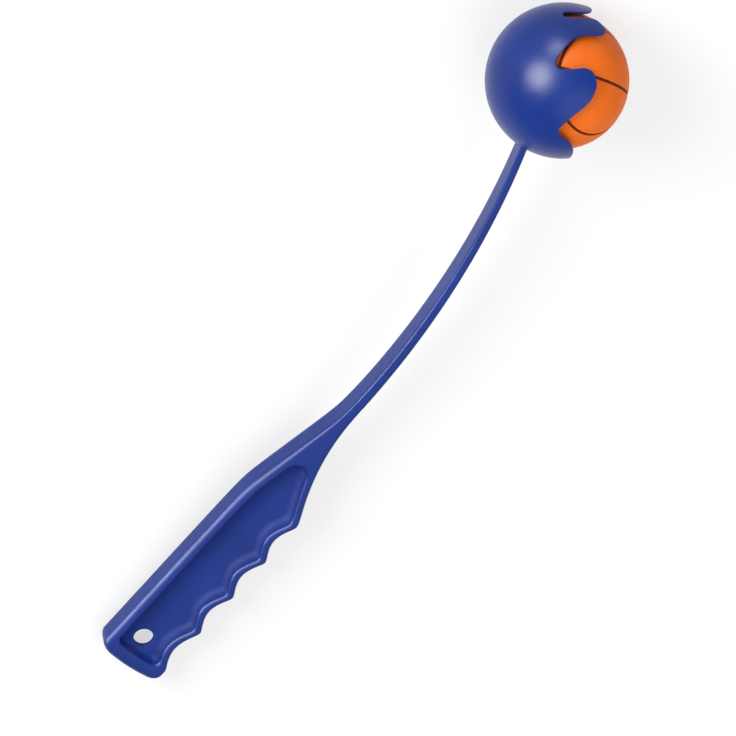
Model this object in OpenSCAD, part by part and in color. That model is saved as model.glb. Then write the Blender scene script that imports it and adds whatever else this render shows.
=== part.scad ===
// Ball launcher for dogs: a moulded stick with a scalloped grip, a springy flat shaft
// and a claw cup that holds a rubber ball. All lengths are in millimetres.
// Origin: middle of the hang hole, on the mid-plane of the mould.
// +X runs from the butt to the cup, +Y to the spine of the grip, Z = 0 is the mid-plane.

/* [Ball] */
// Diameter of the ball
ball_d = 60; // [50:1:68]
// Width of the dark seam lines
seam_w = 1.2; // [0.8:0.1:2]
// Depth of the seam grooves
seam_depth = 0.8; // [0.5:0.1:1.5]
// How far the seam filling stays below the ball's skin
seam_recess = 0.2; // [0.1:0.05:0.3]
// Half angle of the two round side seams, in degrees
seam_loop_angle = 50; // [40:1:55]

/* [Cup] */
// Wall of the cup and of its fingers
cup_wall = 2.2; // [1.8:0.1:3]
// Room between the ball and the cup, all round
ball_clearance = 1.6; // [1:0.1:2]
// Extra thickness of the fingers at their tips, which hold the ball in
tip_grip = 0.6; // [0.4:0.1:1]
// Gap left under the ball where it sits on the floor of the cup
seat_gap = 0.25; // [0.05:0.05:0.5]
// Room between the travelling ball and the bottom lip
travel_gap = 0.3; // [0.2:0.05:0.5]
// Angle from the stick's axis down to the way the mouth faces, in degrees
mouth_angle = 67; // [55:1:80]
// Angle between the shaft's end and the line to the middle of the cup, in degrees
cup_drop_angle = 11; // [5:1:15]
// Latitude of the right top finger's tip past the cup's equator, in degrees
tip_angle = 15.3; // [13:0.1:18]
// Latitude of the broad left top finger's tip, in degrees
left_tip_angle = 8.4; // [7:0.1:12]
// Latitude of the fingers' roots, in degrees
root_angle = -7; // [-7.4:0.1:-6]
// Width of the slot between the two top fingers
slot_w = 4.6; // [3:0.1:6]
// Latitude of the slot's round end, in degrees
slot_angle = -17; // [-22:0.5:-14]

/* [Grip] */
// Thickness of the grip, across the mid-plane
grip_t = 13.5; // [11:0.5:18]
// From the hang hole up to the spine
spine_y = 15.3; // [14:0.1:18]
// From the hang hole down to the crests between the fingers
crest_y = 17.3; // [15:0.1:19]
// Length of one finger groove
groove_pitch = 22.9; // [20:0.1:25]
// Length of the groove next to the butt
butt_groove = 25.4; // [22:0.1:28]
// Depth of the finger grooves
groove_depth = 4; // [2:0.1:5]
// Number of finger grooves
groove_count = 4; // [3:1:4]
// From the hang hole to the crest between the first two grooves
first_crest_x = 18.1; // [16:0.1:21]
// From the hang hole to the butt
butt_x = 14.6; // [13:0.1:18]
// How far the butt bows out between its corners
butt_bow = 2.2; // [0:0.1:4]
// Radius of the butt's corners
butt_corner_r = 5; // [3:0.1:7]
// Rounding of the long edges
edge_r = 3.4; // [1:0.1:3.6]

/* [Recess] */
// Thickness of the web between the two recesses
web_t = 2.4; // [1.5:0.1:4]
// Width of the rail along the spine
rail_w = 4; // [3.6:0.1:5]
// Width of the rim along the finger grooves
rim_w = 4.2; // [3:0.1:5]
// Width of the rim at the butt
butt_rim_w = 7.7; // [6:0.1:9]
// Lean of the recess walls, from rim to web
recess_draft = 1.2; // [0.5:0.1:2]
// Fillet at the foot of the recess walls
recess_fillet = 3; // [1:0.1:3.4]
// Diameter of the hang hole
hole_d = 8.9; // [6:0.1:10]

/* [Neck and shaft] */
// From the last crest to the bend in the spine
bend_gap = 4; // [0:0.5:10]
// Fall of the spine past its bend, in degrees
neck_angle = 12.7; // [10:0.1:15]
// From the last crest to the start of the shaft
neck_len = 63.5; // [58:0.5:75]
// Height of the shaft's start above the hang hole's axis
shaft_y = 1.1; // [0:0.1:2]
// Length of the shaft along its curve
shaft_len = 150.4; // [120:0.1:200]
// Radius of the shaft's curve
shaft_bend_r = 425; // [350:5:600]
// Depth of the shaft where it leaves the neck
shaft_depth = 4.8; // [4:0.1:6]
// Depth of the shaft where it meets the cup
shaft_end_depth = 3.2; // [2.4:0.1:4]
// Width of the shaft where it leaves the neck, across the mid-plane
shaft_w = 12.2; // [9:0.1:13]
// Width of the shaft where it meets the cup
shaft_end_w = 11.5; // [8:0.1:13]
// Rounding of the shaft's edges
shaft_edge_r = 1.1; // [0.6:0.1:1.2]
// Share of the shaft's length below the point where it whips
whip_share = 0.5; // [0.3:0.05:0.7]
// Whip of the shaft each way, in degrees
whip_angle = 8; // [4:1:12]

/* [Hidden] */
$fn = 96;

plastic_blue = [0.16, 0.22, 0.55];
rubber_orange = [0.98, 0.45, 0.1];
seam_brown = [0.16, 0.07, 0.05];

// Turn of the ball's seam pattern about X, Y and Z, as it was put into the cup
seam_turn = [-5, -32.3, 53.6];
// How much deeper the seam lies that crosses the others
seam_sunk = 0.08;
// Extra angle of the relief at the whip line, so that the two halves never bind
whip_relief = whip_angle + 0.5;
// How far the stick's cutters and lofts run past the faces they cut
over = 1;
// How softly the straight and curved stretches of the grip's outline run into each other
blend_k = 1.4;
// Sharpness of the crests between the finger grooves
crest_soft = 0.16;
// Power of the curve that thins the neck on its finger side
neck_power = 2.15;
// Where the bow of the butt is deepest, and how far it reaches along the grip
bow_y = -4;
bow_reach = 14;
// Radius of the recess's corners at its two ends
recess_end_r = 4.5;
// Steps round a corner of a section
corner_steps = 4;
// Rings in each half of the shaft, rows in a stretch of a finger's edge, and rows in the bowl
shaft_rings = 12;
finger_steps = 3;
bowl_steps = 9;
// Strips across a top finger and across a side finger
top_columns = 6;
side_columns = 10;
// Latitude of the small flat that closes the back of the bowl
back_angle = -87;
// Length over which the recess's floor rises at its two ends
end_ramp = recess_draft + 0.6;
// Narrowest half width and clear height of the recess's cutter at its ends
recess_tip = 0.3;

// Sizes of the cup
ball_r = ball_d / 2;
cup_in_r = ball_r + ball_clearance;
cup_out_r = cup_in_r + cup_wall;
far = 2 * cup_out_r;

// Stations along the stick
last_crest_x = first_crest_x + (groove_count - 1) * groove_pitch;
butt_crest_x = first_crest_x - butt_groove;
bend_x = last_crest_x + bend_gap;
shaft_x = last_crest_x + neck_len;
recess_start = butt_rim_w - butt_x;
recess_end = bend_x + (spine_y - rail_w - shaft_y) / tan(neck_angle) * 0.49;

// The shaft's curve, by the angle turned so far
shaft_turn = shaft_len / shaft_bend_r * 180 / PI;
whip_turn = shaft_turn * whip_share;
function shaft_point(a) = [shaft_x + shaft_bend_r * sin(a), shaft_y + shaft_bend_r * (1 - cos(a))];
shaft_end = shaft_point(shaft_turn);
cup_turn = shaft_turn - cup_drop_angle;
cup_middle = [shaft_end[0] + cup_out_r * cos(cup_turn), shaft_end[1] + cup_out_r * sin(cup_turn), 0];

// Plain helpers
function mix(a, b, t) = a + (b - a) * t;
function clamp01(t) = min(1, max(0, t));
function ease(t) = let (u = clamp01(t)) u * u * (3 - 2 * u);
function soft_min(a, b, k) = (a + b - sqrt((a - b) * (a - b) + k * k)) / 2;
function soft_max(a, b, k) = -soft_min(-a, -b, k);
function reversed(list) = [for (i = [len(list) - 1:-1:0]) list[i]];
function even(a, b, steps) = [for (i = [0:steps - 1]) mix(a, b, i / steps)];

// How far a round corner of radius r stands back, d past the corner's end
function corner_back(d, r) = d >= r ? 0 : r - sqrt(max(0, r * r - (r - d) * (r - d)));

// Smooth curve through points, as short straight steps, without its last point
function spline_at(p0, p1, p2, p3, t) =
    0.5 * (2 * p1 + (p2 - p0) * t + (2 * p0 - 5 * p1 + 4 * p2 - p3) * t * t
    + (3 * p1 - p0 - 3 * p2 + p3) * t * t * t);
function open_curve(p, steps) = let (n = len(p) - 1)
    [for (i = [0:n - 1], s = [0:steps - 1])
        spline_at(p[max(0, i - 1)], p[i], p[i + 1], p[min(n, i + 2)], s / steps)];

// Outline of the stick, seen from its side
function ripple(t) = (sqrt(pow(sin(180 * t), 2) + crest_soft * crest_soft) - crest_soft)
    / (sqrt(1 + crest_soft * crest_soft) - crest_soft);
function groove_phase(x) = (x - first_crest_x) / (x > first_crest_x ? groove_pitch : butt_groove);
function grooved(x) = x > butt_crest_x && x < last_crest_x;
function grip_edge(x) = -crest_y + (grooved(x) ? groove_depth * ripple(groove_phase(x)) : 0);
function neck_edge(x) = let (low = shaft_y - shaft_depth / 2)
    low - (low + crest_y) * pow(max(0, (shaft_x - x) / (neck_len - 1)), neck_power);
function finger_side(x) = soft_max(grip_edge(x), neck_edge(x), blend_k);
function spine_line(x) = soft_min(spine_y, spine_y - tan(neck_angle) * (x - bend_x), blend_k);
function spine_side(x) = soft_max(spine_line(x), shaft_y + shaft_depth / 2, blend_k);
function thickness(x) = mix(grip_t, shaft_w, ease((x - bend_x) / (shaft_x - bend_x)));
function rounding(x) = mix(edge_r, shaft_edge_r, ease((x - bend_x) / (shaft_x - bend_x)));
function bowed(x, y) =
    x + butt_bow * pow((y - bow_y) / (spine_y - bow_y), 2) * (1 - ease((x + butt_x) / bow_reach));

// A rounded section, as pairs: across the stick in its plane, and through its thickness
function section(lo, hi, half_t, r) =
    let (m = (lo + hi) / 2, h = (hi - lo) / 2, q = min(r, h, half_t) * 0.98)
    [for (k = [0:3], i = [0:corner_steps])
        let (a = 90 * (k + i / corner_steps), along = k == 0 || k == 3 ? 1 : -1, through = k < 2 ? 1 : -1)
        [m + along * (h - q) + q * cos(a), through * (half_t - q) + q * sin(a)]];

// One ring of the handle at station x, rounded off at the butt
function handle_ring(x) =
    let (d = x + butt_x, e = corner_back(d, edge_r), c = corner_back(d, butt_corner_r),
        ring = section(finger_side(x) + c, spine_side(x) - c, thickness(x) / 2 - e, rounding(x)))
    [for (p = ring) [bowed(x, p[0]), p[0], p[1]]];

// One ring of the shaft after a turn of angle a along its curve
function shaft_ring(a) =
    let (t = a / shaft_turn, c = shaft_point(a), d = mix(shaft_depth, shaft_end_depth, t),
        ring = section(-d / 2, d / 2, mix(shaft_w, shaft_end_w, t) / 2, shaft_edge_r))
    [for (p = ring) [c[0] - p[0] * sin(a), c[1] + p[0] * cos(a), p[1]]];

// One ring of the recess's cutter at station x
function recess_ring(x) =
    let (t = thickness(x) / 2, in = min(x - recess_start, recess_end - x),
        back = corner_back(max(0, in), recess_end_r),
        low = finger_side(x) + rim_w, high = spine_side(x) - rail_w, mid = (low + high) / 2,
        lo = min(mid - recess_tip, low + back), hi = max(mid + recess_tip, high - back),
        floor_z = mix(t + recess_tip, web_t / 2, ease(in / end_ramp)),
        lean = min(recess_draft, (hi - lo) / 5), f = min(recess_fillet, (hi - lo) / 5),
        side = [[-lean * over / (t - web_t / 2), t + over], [lean, floor_z + f],
                [lean + 0.3 * f, floor_z + 0.3 * f], [lean + f, floor_z]])
    concat([for (p = side) [x, lo + p[0], p[1]]], [for (p = reversed(side)) [x, hi - p[0], p[1]]]);

// A solid skinned over rings of one even number of points, its ends closed by strips between opposite points
module loft(rings) {
    n = len(rings[0]);
    last = (len(rings) - 1) * n;
    sides = [for (i = [0:len(rings) - 2], j = [0:n - 1]) let (a = i * n + j, b = i * n + (j + 1) % n)
        each [[b, a, a + n], [b + n, b, a + n]]];
    first_end = [for (j = [0:n / 2 - 2]) let (k = n - 1 - j) each [[k, j, j + 1], [k - 1, k, j + 1]]];
    last_end = [for (f = first_end) [last + f[1], last + f[0], last + f[2]]];
    polyhedron(points = [for (r = rings) each r], faces = concat(sides, first_end, last_end), convexity = 8);
}

// Stations that are close together at both ends of a stretch
function stations(from, to, dense, fine, coarse) = concat(
    [for (i = [0:fine - 1]) from + dense * (1 - cos(90 * i / fine))],
    [for (i = [0:coarse]) from + dense + (to - from - dense) * i / coarse]);

module handle() color(plastic_blue) difference() {
    loft([for (x = stations(-butt_x + 0.02, shaft_x, butt_corner_r, 6, 64)) handle_ring(x)]);
    for (side = [0, 1]) mirror([0, 0, side]) recess();
    cylinder(h = grip_t + 2 * over, d = hole_d, center = true);
}

module recess() {
    span = recess_end - recess_start;
    steps = 60;
    loft([for (i = [0:steps]) let (u = i / steps, share = mix(u, (1 - cos(180 * u)) / 2, 0.8))
        recess_ring(recess_start + span * share)]);
}

// Half-space past the whip line, turned about it by an angle
module past_whip(turn) {
    p = shaft_point(whip_turn);
    translate([p[0], p[1], 0]) rotate(whip_turn + turn)
        translate([0, -far, -far]) cube([shaft_len, 2 * far, 2 * far]);
}

// The shaft's last ring, squeezed to a share of its width and slid along the shaft until it lies on the cup
function slid_to_cup(p) = let (d = [cos(shaft_turn), sin(shaft_turn), 0], b = (p - cup_middle) * d,
        q = p - cup_middle)
    p - d * (b + sqrt(b * b - q * q + cup_out_r * cup_out_r));
function cup_ring(share) = [for (p = shaft_ring(shaft_turn)) slid_to_cup([p[0], p[1], p[2] * share])];

module lower_shaft() color(plastic_blue) difference() {
    loft([for (i = [0:shaft_rings + 1]) shaft_ring(whip_turn * i / shaft_rings)]);
    for (turn = [-whip_relief, whip_relief]) past_whip(turn);
}

module upper_shaft() color(plastic_blue)
    loft(concat([for (i = [0:shaft_rings - 1]) shaft_ring(mix(whip_turn, shaft_turn, i / shaft_rings))],
                [for (share = [1, 0.7, 0.4, 0.1]) cup_ring(share)]));

// Children stand in the cup's own frame: Z out of the mouth, X to the top of the cup, Y sideways
module in_cup() {
    translate(cup_middle) rotate([0, 0, -mouth_angle]) rotate([90, 0, 90]) children();
}

// A point of a wall of the cup, by azimuth from its top and latitude on its outside; the skins share heights
function on_cup(p, r) =
    let (z = cup_out_r * sin(p[1]), w = sqrt(r * r - z * z)) [w * cos(p[0]), w * sin(p[0]), z];

// Edges of the fingers from root to tip, by azimuth to either side and latitude
slot_half = asin(slot_w / 2 / cup_out_r);
top_slot_edge = [[slot_half, root_angle], [slot_half - 1.5, 0.5], [slot_half - 0.8, tip_angle - 8.3],
                 [slot_half + 2.6, tip_angle - 3.7], [slot_half + 7, tip_angle - 0.2]];
top_notch_edge = [[24, root_angle], [21.4, -1.3], [20, 4.9], [18.2, tip_angle - 5],
                  [slot_half + 10.2, tip_angle - 0.4]];
left_slot_edge = [[slot_half, root_angle], [slot_half, -3], [slot_half + 1.6, 2],
                  [slot_half + 6, left_tip_angle - 2.2], [17, left_tip_angle]];
left_notch_edge = [[38, root_angle], [36.6, -2], [34, 3.4], [29, left_tip_angle - 1.2],
                   [22, left_tip_angle]];
side_top_edge = [[49.7, root_angle], [48.2, -1.6], [48.4, 3.2], [51.4, 7.7], [57.2, 10.6]];
side_low_edge = [[95.4, root_angle], [84.7, -1], [75.9, 5.8], [68.6, 9.6], [61.6, 11]];

// The bowl's rim on either side, from the middle of the slot round to the middle of the bottom lip
slot_end = [for (a = [0:30:90]) [slot_half * sin(a), slot_angle + slot_half * (1 - cos(a))]];
right_notch = [top_notch_edge[0], [25.8, -9.8], [29.3, -12.9], [38.2, -19], [43.8, -21.7], [47.2, -22.3],
               [49.8, -21.4], [51.4, -18.6], [51.4, -14.6], side_top_edge[0]];
left_notch = [left_notch_edge[0], [38.8, -10.6], [41.2, -15.6], [45, -18.8], [48.4, -18.9], [50.4, -16.4],
              [50.8, -11.8], side_top_edge[0]];
low_notch = [side_low_edge[0], [99.4, root_angle - 1.1], [102, -7.6], [104.6, -5.4], [107.2, -1.6],
             [110.3, 2.9], [114.9, 7.2], [121.5, 10.4], [133, 12.8], [150, 14.1], [180, 14.4]];
function rim(slot_edge, notch_edge, notch, columns) = concat(
    slot_end, even(slot_edge[0], notch_edge[0], columns), open_curve(notch, 3),
    even(side_top_edge[0], side_low_edge[0], side_columns), open_curve(low_notch, 3));
right_rim = rim(top_slot_edge, top_notch_edge, right_notch, top_columns);
left_rim = rim(left_slot_edge, left_notch_edge, left_notch, side_columns);
bowl_rim = concat(right_rim, [low_notch[len(low_notch) - 1]],
    [for (p = reversed(left_rim)) if (p[0] > 0) [-p[0], p[1]]]);

// Rings of the bowl, by share of the way from its back to its rim; inside, the lip leaves the ball's way free
function bowl_outside(t) = [for (p = bowl_rim) on_cup([p[0], mix(back_angle, p[1], t)], cup_out_r)];
function bowl_inside(t) = [for (p = bowl_rim)
    let (lat = mix(back_angle, asin(cup_out_r * sin(p[1]) / cup_in_r), t), free = cup_in_r * cos(lat),
        w = lat > 0 ? max(ball_r + travel_gap, free) : free)
    [w * cos(p[0]), w * sin(p[0]), cup_in_r * sin(lat)]];

module cup_bowl() color(plastic_blue) in_cup()
    loft(concat([for (i = [0:bowl_steps]) bowl_outside(i / bowl_steps)],
                [for (i = [bowl_steps:-1:0]) bowl_inside(i / bowl_steps)]));

// A finger between two edges, thicker towards its tip, on the right or mirrored to the left
module finger(slot_edge, notch_edge, columns, side) {
    from = concat(open_curve(slot_edge, finger_steps), [slot_edge[4]]);
    to = concat(open_curve(notch_edge, finger_steps), [notch_edge[4]]);
    rows = len(from) - 1;
    in_cup() mirror([0, side, 0]) loft([for (i = [0:rows])
        let (line = concat(even(from[i], to[i], columns), [to[i]]), in_r = cup_in_r - tip_grip * i / rows)
        concat([for (p = line) on_cup(p, cup_out_r)], [for (p = reversed(line)) on_cup(p, in_r)])]);
}

module right_top_finger() color(plastic_blue) finger(top_slot_edge, top_notch_edge, top_columns, 0);
module left_top_finger() color(plastic_blue) finger(left_slot_edge, left_notch_edge, side_columns, 1);
module right_side_finger() color(plastic_blue) finger(side_top_edge, side_low_edge, side_columns, 0);
module left_side_finger() color(plastic_blue) finger(side_top_edge, side_low_edge, side_columns, 1);

// Children stand at the middle of the ball, with the seam pattern's axes
module in_ball() {
    in_cup() translate([0, 0, seat_gap - ball_clearance]) rotate(seam_turn) children();
}

// A ring of the seam pattern about Z, at a half angle from it, reaching out to a radius and sunk by a little
module seam_ring(half_angle, outer_r, sunk = 0) {
    inner_r = ball_r - seam_depth;
    rotate(20) rotate_extrude() rotate(90 - half_angle)
        translate([inner_r - sunk, -seam_w / 2]) square([outer_r - inner_r, seam_w]);
}

// Two great circles and a round seam at each end of X; the circle that crosses them lies a little deeper
module seam_rings(outer_r) {
    rotate([90, 0, 0]) seam_ring(90, outer_r, seam_sunk);
    for (half_angle = [seam_loop_angle, 90, 180 - seam_loop_angle])
        rotate([0, 90, 0]) seam_ring(half_angle, outer_r);
}

module ball() color(rubber_orange) in_ball() difference() {
    sphere(ball_r);
    seam_rings(ball_r + over);
}

module ball_seam() color(seam_brown) in_ball() seam_rings(ball_r - seam_recess);

handle();
lower_shaft();
upper_shaft();
cup_bowl();
left_top_finger();
right_top_finger();
left_side_finger();
right_side_finger();
ball();
ball_seam();
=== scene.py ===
"""Looks of a ball launcher with its ball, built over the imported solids, in the same frame.

Sizes are in millimetres and degrees, as in the part's source, until a mesh is made.
"""

import math

import bmesh
import bpy
import numpy as np
from mathutils import Matrix
from mathutils import Vector
from mathutils.geometry import delaunay_2d_cdt


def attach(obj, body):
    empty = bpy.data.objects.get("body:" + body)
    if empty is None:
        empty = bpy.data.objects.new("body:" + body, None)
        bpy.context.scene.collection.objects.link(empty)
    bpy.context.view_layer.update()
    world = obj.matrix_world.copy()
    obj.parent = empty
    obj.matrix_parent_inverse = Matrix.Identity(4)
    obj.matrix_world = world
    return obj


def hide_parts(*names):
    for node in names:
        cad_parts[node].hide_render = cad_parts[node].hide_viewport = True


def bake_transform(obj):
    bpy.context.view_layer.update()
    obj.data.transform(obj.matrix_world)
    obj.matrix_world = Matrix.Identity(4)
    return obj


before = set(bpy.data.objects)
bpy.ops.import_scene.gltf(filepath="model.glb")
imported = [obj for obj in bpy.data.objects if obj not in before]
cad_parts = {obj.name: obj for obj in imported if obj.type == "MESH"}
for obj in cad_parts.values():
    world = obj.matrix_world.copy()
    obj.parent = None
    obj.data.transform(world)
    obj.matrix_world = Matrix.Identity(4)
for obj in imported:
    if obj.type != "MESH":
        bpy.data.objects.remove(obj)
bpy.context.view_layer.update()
MM = 0.001

# Sizes of the stick, as in the part's source, apart from the roundings of its edges
SPINE_Y = 15.3
CREST_Y = 17.3
GROOVE_PITCH = 22.9
BUTT_GROOVE = 25.4
GROOVE_DEPTH = 4.0
FIRST_CREST_X = 18.1
LAST_CREST_X = FIRST_CREST_X + 3 * GROOVE_PITCH
BUTT_CREST_X = FIRST_CREST_X - BUTT_GROOVE
CREST_SOFT = 0.16
GRIP_T = 13.5
BUTT_X = 14.6
BUTT_BOW = 2.2
BOW_Y = -4.0
BOW_REACH = 14.0
BUTT_CORNER_R = 5.0
EDGE_R = 3.4
FINGER_EDGE_R = 2.3
BEND_X = LAST_CREST_X + 4.0
NECK_ANGLE = math.radians(12.7)
NECK_LEN = 63.5
NECK_POWER = 2.15
BLEND_K = 1.4
SHAFT_X = LAST_CREST_X + NECK_LEN
SHAFT_Y = 1.1
SHAFT_LEN = 150.4
SHAFT_BEND_R = 425.0
SHAFT_TURN = SHAFT_LEN / SHAFT_BEND_R
SHAFT_DEPTH = 4.8
SHAFT_END_DEPTH = 3.2
SHAFT_W = 12.2
SHAFT_END_W = 11.5
SHAFT_EDGE_R = 1.5

# The most that a rounding takes of what fits
ROUND_MOST = 0.98

# Sizes of the recess on each side of the grip, and of the hole in its web
WEB_T = 2.4
RAIL_W = 4.0
RIM_W = 4.2
RECESS_START = 7.7 - BUTT_X
RECESS_NECK_SHARE = 0.49
RECESS_END = BEND_X + (SPINE_Y - RAIL_W - SHAFT_Y) / math.tan(NECK_ANGLE) * RECESS_NECK_SHARE
RECESS_END_RUN = 0.48
RECESS_END_R = 4.5
RECESS_EDGE_R = 0.6
RECESS_FINGER_EDGE_R = 1.8
RECESS_FILLET = 3.0
RECESS_DRAFT = math.radians(12.2)
HOLE_R = 4.45
HOLE_EDGE_R = 0.3

# How dull the plastic is: from what depth of a recess, over what depth, and on the worn grip
DULL_FROM = 0.15
DULL_OVER = 0.5
GRIP_WEAR = 0.25

# Sizes of the cup and the ball
BALL_R = 30.0
CUP_IN_R = 31.6
CUP_OUT_R = 33.8
TIP_GRIP = 0.6
SEAT_GAP = 0.25
MOUTH_ANGLE = math.radians(67.0)
CUP_DROP = math.radians(11.0)
ROOT_LAT = -7.0
SLOT_LAT = -17.0
SLOT_HALF = math.degrees(math.asin(2.3 / CUP_OUT_R))
TIP_LAT = 15.3
LEFT_TIP_LAT = 8.4
RIM_EDGE_R = 0.4
RIM_T = 1.0
RIM_REACH = 3.2
RIM_SOFT = 0.7
SEAM_TURN = (-5.0, -32.3, 53.6)
SEAM_LOOP = 50.0
SEAM_W = 1.2
SEAM_RECESS = 0.2
SEAM_CROWN = 0.06
SEAM_DROP = 0.05
SEAM_FOOT = 0.75
SEAM_GROOVE = 0.7
SEAM_GROOVE_FLAT = 0.42
SEAM_GROOVE_SLOPE = 0.5

# Fineness of the meshes: rows along the stick, steps round the recess, the hole, the cup and the ball
BUTT_ROWS = 22
GRIP_ROWS = 270
NECK_ROWS = 60
SHAFT_ROWS = 150
FACE_COLUMNS = 5
BUTT_COLUMNS = 30
BAND_ROUND = 9
BAND_WALL = 5
BAND = 2 * BAND_ROUND + BAND_WALL
LONG_STEPS = 299
NECK_END_STEPS = 4
BUTT_END_STEPS = 32
HOLE_STEPS = 96
RIM_STEP = 0.45
ROOT_STEP = 1.6
SKIN_STEP = 1.7
SKIN_CLEAR = 1.3
BALL_CELLS = 124
SEAM_STEPS = 320

# The cup's own axes: to its top, sideways, and out of its mouth
CUP_TOP = np.array([math.sin(MOUTH_ANGLE), math.cos(MOUTH_ANGLE), 0.0])
CUP_SIDE = np.array([0.0, 0.0, 1.0])
CUP_MOUTH = np.array([math.cos(MOUTH_ANGLE), -math.sin(MOUTH_ANGLE), 0.0])


def shaft_point(a):
    """A point of the shaft's middle line, after a turn of angle a."""
    x = SHAFT_X + SHAFT_BEND_R * math.sin(a)
    y = SHAFT_Y + SHAFT_BEND_R * (1 - math.cos(a))
    return np.array([x, y, 0.0])


CUP_TURN = SHAFT_TURN - CUP_DROP
CUP_WAY = np.array([math.cos(CUP_TURN), math.sin(CUP_TURN), 0.0])
CUP_MIDDLE = shaft_point(SHAFT_TURN) + CUP_OUT_R * CUP_WAY
BALL_MIDDLE = CUP_MIDDLE + CUP_MOUTH * (SEAT_GAP - (CUP_IN_R - BALL_R))


# Plain helpers
def ease(t):
    """A smooth step from 0 to 1."""
    u = np.clip(t, 0.0, 1.0)
    return u * u * (3 - 2 * u)


def mix(a, b, t):
    return a + (b - a) * t


def soft_min(a, b, k):
    return (a + b - np.sqrt((a - b) ** 2 + k * k)) / 2


def soft_max(a, b, k):
    return -soft_min(-a, -b, k)


def corner_back(d, r):
    """How far a round corner of radius r stands back, d past the corner's end."""
    d = np.clip(d, 0.0, r)
    return r - np.sqrt(np.clip(r * r - (r - d) ** 2, 0.0, None))


def spaced(points, count):
    """An open line of points, sampled again at even steps."""
    points = np.asarray(points, float)
    steps = np.linalg.norm(np.diff(points, axis=0), axis=1)
    along = np.concatenate([[0.0], np.cumsum(steps)])
    at = np.linspace(0.0, along[-1], count)
    return np.stack([np.interp(at, along, points[:, k]) for k in range(points.shape[1])], axis=1)


def inner_points(a, b, count):
    """Points at even steps on the straight line from a to b, without its ends."""
    a = np.array(a)
    b = np.array(b)
    return [tuple(mix(a, b, t)) for t in np.linspace(0, 1, count)[1:-1]]


class Builder:
    """Collects vertices and faces, and joins the points that coincide."""

    def __init__(self):
        self.points = []
        self.faces = []

    def add(self, points):
        first = len(self.points)
        self.points.extend([tuple(p) for p in points])
        return list(range(first, len(self.points)))

    def grid(self, rows, flip=False, closed=False):
        """Quads between rows of vertex numbers of one length."""
        for a, b in zip(rows[:-1], rows[1:]):
            n = len(a)
            for j in range(n if closed else n - 1):
                k = (j + 1) % n
                quad = (a[j], a[k], b[k], b[j])
                self.faces.append(quad[::-1] if flip else quad)

    def mesh(self, name, join=0.002):
        """The mesh in metres, its doubled points joined and its faces turned outwards."""
        data = bpy.data.meshes.new(name)
        data.from_pydata([(x * MM, y * MM, z * MM) for x, y, z in self.points], [], self.faces)
        work = bmesh.new()
        work.from_mesh(data)
        bmesh.ops.remove_doubles(work, verts=work.verts, dist=join * MM)
        bmesh.ops.dissolve_degenerate(work, edges=work.edges, dist=join * MM * 0.2)
        bmesh.ops.recalc_face_normals(work, faces=work.faces)
        work.to_mesh(data)
        work.free()
        data.shade_smooth()
        return data


def shown(data, material):
    """An object for a mesh, with its material."""
    obj = bpy.data.objects.new(data.name, data)
    bpy.context.scene.collection.objects.link(obj)
    data.materials.append(material)
    return obj


def filled(loops, inner=()):
    """Triangles inside the first closed loop and outside the others, with extra points among them."""
    points = []
    edges = []
    for loop in loops:
        first = len(points)
        points.extend(loop)
        edges.extend((first + i, first + (i + 1) % len(loop)) for i in range(len(loop)))
    points.extend(inner)
    result = delaunay_2d_cdt([Vector((p[0], p[1])) for p in points], edges, [], 0, 1e-7, True)
    verts, triangles, origins = result[0], result[2], result[3]
    back = [o[0] if o else None for o in origins]
    assert None not in back
    outer = np.array(loops[0])
    holes = [np.array(loop) for loop in loops[1:]]
    kept = []
    for tri in triangles:
        middle = sum((verts[i] for i in tri), Vector((0.0, 0.0))) / 3
        if inside(middle, outer) and not any(inside(middle, hole) for hole in holes):
            kept.append(tuple(back[i] for i in tri))
    return points, kept


def inside(point, loop):
    """Whether a point lies in a closed loop."""
    x, y = point[0], point[1]
    ax, ay = loop[:, 0], loop[:, 1]
    bx, by = np.roll(ax, -1), np.roll(ay, -1)
    cross = (ay > y) != (by > y)
    rise = np.where(cross, by - ay, 1.0)
    return bool(np.count_nonzero(cross & (x < (bx - ax) * (y - ay) / rise + ax)) % 2)


# Outline of the stick, seen from its side
def ripple(t):
    """The wave of the finger grooves: 0 at a crest, 1 midway between two crests."""
    c = CREST_SOFT
    return (np.sqrt(np.sin(np.pi * t) ** 2 + c * c) - c) / (math.sqrt(1 + c * c) - c)


def finger_side(x):
    """The outline's lower line, from the butt to the shaft."""
    x = np.asarray(x, float)
    phase = (x - FIRST_CREST_X) / np.where(x > FIRST_CREST_X, GROOVE_PITCH, BUTT_GROOVE)
    grooved = (x > BUTT_CREST_X) & (x < LAST_CREST_X)
    grip = -CREST_Y + np.where(grooved, GROOVE_DEPTH * ripple(phase), 0.0)
    low = SHAFT_Y - SHAFT_DEPTH / 2
    neck = low - (low + CREST_Y) * np.clip((SHAFT_X - x) / (NECK_LEN - 1), 0.0, None) ** NECK_POWER
    return soft_max(grip, neck, BLEND_K)


def spine_side(x):
    """The outline's upper line, from the butt to the shaft."""
    x = np.asarray(x, float)
    line = soft_min(SPINE_Y, SPINE_Y - math.tan(NECK_ANGLE) * (x - BEND_X), BLEND_K)
    return soft_max(line, SHAFT_Y + SHAFT_DEPTH / 2, BLEND_K)


def top_z(x):
    """Half the thickness of the handle, rounded off at the butt."""
    x = np.asarray(x, float)
    half = mix(GRIP_T, SHAFT_W, ease((x - BEND_X) / (SHAFT_X - BEND_X))) / 2
    return half - corner_back(x + BUTT_X, EDGE_R)


def rounding(x, side):
    """Radius of the long edges: fuller on the spine than on the finger side."""
    grip = EDGE_R if side > 0 else FINGER_EDGE_R
    return float(mix(grip, SHAFT_EDGE_R, ease((x - BEND_X) / (SHAFT_X - BEND_X))))


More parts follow.
